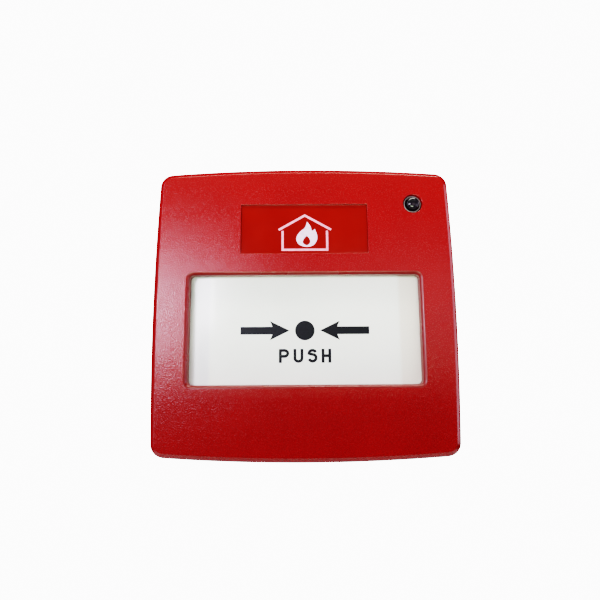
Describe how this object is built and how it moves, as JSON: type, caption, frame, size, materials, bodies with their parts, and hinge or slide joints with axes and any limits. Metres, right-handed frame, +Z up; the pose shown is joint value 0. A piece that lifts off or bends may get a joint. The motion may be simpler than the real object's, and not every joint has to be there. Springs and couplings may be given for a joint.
{
  "type": "manual call point",
  "caption": "Manual call point for a fire alarm: square push panel behind a window in a domed moulded cover, on a wall-box base with rear terminals.",
  "frame": {"origin": "middle of the plane where the base meets the wall", "axes": "+X to the viewer's right, +Z up, -Y out of the wall towards the viewer"},
  "size_m": [0.0928, 0.044, 0.0908],
  "materials": {
    "red_plastic": "finely textured on the face, smooth on the rounded edges",
    "label_red": "smooth gloss",
    "white_plastic": "smooth gloss",
    "yellow_plastic": "satin",
    "black_plastic": "fine moulded texture",
    "grey_plastic": "fine moulded texture",
    "terminal_green": "moulded",
    "lens": "dark clear dome",
    "clear_plastic": "clear",
    "board": "solder mask",
    "steel": "bright plated"
  },
  "bodies": {
    "base": {"base_plate": "red_plastic", "rear_cover": "black_plastic", "rear_cover_screw_upper": "steel", "rear_cover_screw_lower": "steel", "fixing_screw_left": "steel", "fixing_screw_right": "steel", "mechanism_frame": "grey_plastic", "frame_screw_1": "steel", "frame_screw_2": "steel", "frame_screw_3": "steel", "frame_screw_4": "steel", "circuit_board": "board", "board_chip_1": "black_plastic", "board_chip_2": "black_plastic", "board_chip_3": "black_plastic", "board_capacitor": "steel", "micro_switch": "black_plastic", "lever_pin": "steel", "status_led": "clear_plastic", "light_pipe": "clear_plastic", "terminal_header": "black_plastic", "dial_housing_tens": "black_plastic", "dial_housing_units": "black_plastic", "flag_spring": "steel", "reset_spring": "steel", "panel_spring": "steel"},
    "cover": {"front_cover": "red_plastic", "label_panel": "label_red", "led_lens": "lens", "led_bezel": "grey_plastic"},
    "panel": {"press_panel": "white_plastic", "panel_carrier": "black_plastic"},
    "flag": {"warning_flag": "yellow_plastic"},
    "lever": {"trip_lever": "black_plastic"},
    "plunger": {"switch_plunger": "white_plastic"},
    "reset": {"reset_slide": "black_plastic"},
    "latch": {"cover_latch": "black_plastic"},
    "dial_tens": {"address_dial_tens": "white_plastic"},
    "dial_units": {"address_dial_units": "white_plastic"},
    "plug": {"terminal_plug": "terminal_green", "terminal_screw_1": "steel", "terminal_screw_2": "steel", "terminal_screw_3": "steel", "terminal_screw_4": "steel", "terminal_screw_5": "steel", "terminal_screw_6": "steel", "terminal_clamp_1": "steel", "terminal_clamp_2": "steel", "terminal_clamp_3": "steel", "terminal_clamp_4": "steel", "terminal_clamp_5": "steel", "terminal_clamp_6": "steel"}
  },
  "joints": [
    {"name": "cover_swing", "type": "hinge", "parent": "base", "child": "cover", "pos_m": [0, -0.0043, 0.04535], "axis": [-1, 0, 0], "range_deg": [0, 35]},
    {"name": "panel_tilt", "type": "hinge", "parent": "base", "child": "panel", "pos_m": [0, -0.0188, -0.024], "axis": [-1, 0, 0], "range_deg": [0, 6], "deforming": ["panel_spring"]},
    {"name": "flag_drop", "type": "slide", "parent": "base", "child": "flag", "axis": [0, 0, -1], "range_m": [0, 0.0085], "deforming": ["flag_spring"]},
    {"name": "lever_turn", "type": "hinge", "parent": "base", "child": "lever", "pos_m": [0, -0.0163, -0.01], "axis": [-1, 0, 0], "range_deg": [0, 13]},
    {"name": "plunger_travel", "type": "slide", "parent": "base", "child": "plunger", "axis": [0, 1, 0], "range_m": [0, 0.0023]},
    {"name": "reset_push", "type": "slide", "parent": "base", "child": "reset", "axis": [0, 0, 1], "range_m": [0, 0.004], "stiffness_N_per_m": 300, "springref_m": -0.002, "deforming": ["reset_spring"]},
    {"name": "latch_lift", "type": "slide", "parent": "base", "child": "latch", "axis": [0, 0, 1], "range_m": [0, 0.0015], "stiffness_N_per_m": 300, "springref_m": -0.002},
    {"name": "dial_tens_turn", "type": "hinge", "parent": "base", "child": "dial_tens", "pos_m": [0.01, 0.004, 0.012], "axis": [0, 1, 0], "continuous": true},
    {"name": "dial_units_turn", "type": "hinge", "parent": "base", "child": "dial_units", "pos_m": [-0.01, 0.004, 0.012], "axis": [0, 1, 0], "continuous": true},
    {"name": "plug_pull", "type": "slide", "parent": "base", "child": "plug", "axis": [0, 1, 0], "range_m": [0, 0.01]}
  ],
  "couplings": [
    {"joint": "flag_drop", "follows": "panel_tilt", "m_per_rad": 0.0763},
    {"joint": "lever_turn", "follows": "panel_tilt", "ratio": 2},
    {"joint": "plunger_travel", "follows": "panel_tilt", "m_per_rad": 0.0191}
  ]
}
